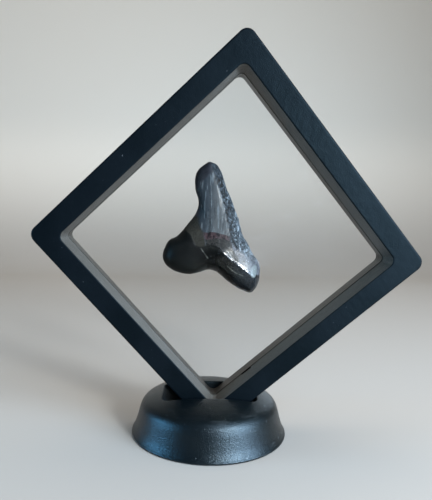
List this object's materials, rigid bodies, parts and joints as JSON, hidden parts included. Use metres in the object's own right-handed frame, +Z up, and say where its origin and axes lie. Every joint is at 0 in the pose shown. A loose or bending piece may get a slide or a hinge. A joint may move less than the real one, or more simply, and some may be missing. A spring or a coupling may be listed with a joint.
{
  "type": "fossil shark tooth in a clear-film display frame",
  "caption": "Dark fossil shark tooth gripped between two clear stretched films in a square black frame, which stands on one corner in the slot of a round black base.",
  "frame": {"origin": "on the base's axis, in the plane that the base stands on", "axes": "+Z up, +X to the right and +Y away as one faces the tooth's front"},
  "size_m": [0.1522, 0.0678, 0.1566],
  "materials": {
    "base_plastic": "satin black moulded plastic with a fine grain",
    "frame_plastic": "fine matt blue-black moulded plastic",
    "clear_film": "clear glossy stretched elastomer film",
    "fossil_tooth": "polished fossil enamel and dark smooth root, seen through tight film"
  },
  "bodies": {
    "root": {"stand_base": "base_plastic", "frame_front": "frame_plastic", "frame_back": "frame_plastic", "film_front": "clear_film", "film_back": "clear_film", "tooth": "fossil_tooth"}
  },
  "joints": []
}
